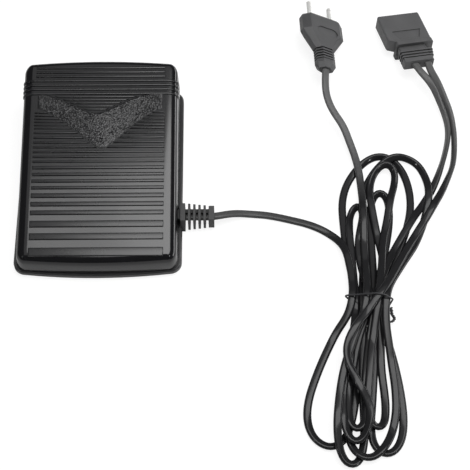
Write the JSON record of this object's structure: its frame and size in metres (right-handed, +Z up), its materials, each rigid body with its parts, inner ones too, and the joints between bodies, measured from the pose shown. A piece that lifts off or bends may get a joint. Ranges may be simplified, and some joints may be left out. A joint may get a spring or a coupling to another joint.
{
  "type": "sewing machine foot pedal",
  "caption": "Wedge-shaped sewing machine foot control with a hinged ribbed foot plate, rubber cord exit, tied flat cords, mains plug and machine connector.",
  "frame": {"origin": "middle of the pedal's footprint, on the floor its rubber feet stand on", "axes": "+Z up, +Y from the hinged heel to the raised toe end, +X to the side where the cord leaves"},
  "size_m": [0.3404, 0.3971, 0.048],
  "materials": {
    "case": "satin black moulding",
    "foot_rubber": "matt black rubber",
    "steel": "bright plated steel",
    "board": "green glass-fibre laminate",
    "dark_plastic": "dark moulded plastic",
    "white_plastic": "off-white acetal",
    "sink": "plain extruded aluminium",
    "ferrite": "dark sintered ferrite",
    "copper": "enamelled copper wire",
    "amber_plastic": "amber dipped film capacitor",
    "fuse_glass": "glass tube with end caps",
    "brass": "plain brass",
    "resistor_body": "lacquered resistor body",
    "green_plastic": "green terminal moulding",
    "cord_jacket": "glossy black PVC jacket",
    "relief_rubber": "matt dark grey rubber",
    "plug_jacket": "satin moulded PVC"
  },
  "bodies": {
    "base": {"base_shell": "case", "rubber_feet": "foot_rubber", "hinge_pin": "steel", "pin_clips": "steel", "return_springs": "steel", "circuit_board": "board", "board_screws": "steel", "potentiometer_body": "dark_plastic", "heat_sink": "sink", "triac": "dark_plastic", "triac_screw": "steel", "choke_core": "ferrite", "choke_winding": "copper", "capacitor": "amber_plastic", "fuse": "fuse_glass", "fuse_clips": "brass", "resistors": "resistor_body", "terminal_block": "green_plastic", "terminal_screws": "steel", "cord_clamp": "steel", "clamp_screws": "steel", "lead_wires": "cord_jacket", "strain_relief": "relief_rubber", "pedal_cord": "cord_jacket", "cord_hank": "cord_jacket", "hank_tie": "cord_jacket", "mains_cord": "cord_jacket", "plug_body": "plug_jacket", "plug_pins": "steel", "connector_cord_inner": "cord_jacket", "connector_cord_outer": "cord_jacket", "connector_body": "plug_jacket", "connector_contacts": "brass"},
    "pedal": {"foot_plate": "case"},
    "slider": {"potentiometer_slider": "white_plastic"}
  },
  "joints": [
    {"name": "pedal_hinge", "type": "hinge", "parent": "base", "child": "pedal", "pos_m": [0, -0.066, 0.015], "axis": [-1, 0, 0], "range_deg": [0, 6], "stiffness_Nm_per_rad": 15, "springref_deg": -5.73, "deforming": ["return_springs"]},
    {"name": "slider_travel", "type": "slide", "parent": "base", "child": "slider", "axis": [0, 0, -1], "range_m": [0, 0.01047]}
  ],
  "couplings": [
    {"joint": "slider_travel", "follows": "pedal_hinge", "m_per_rad": 0.1}
  ]
}
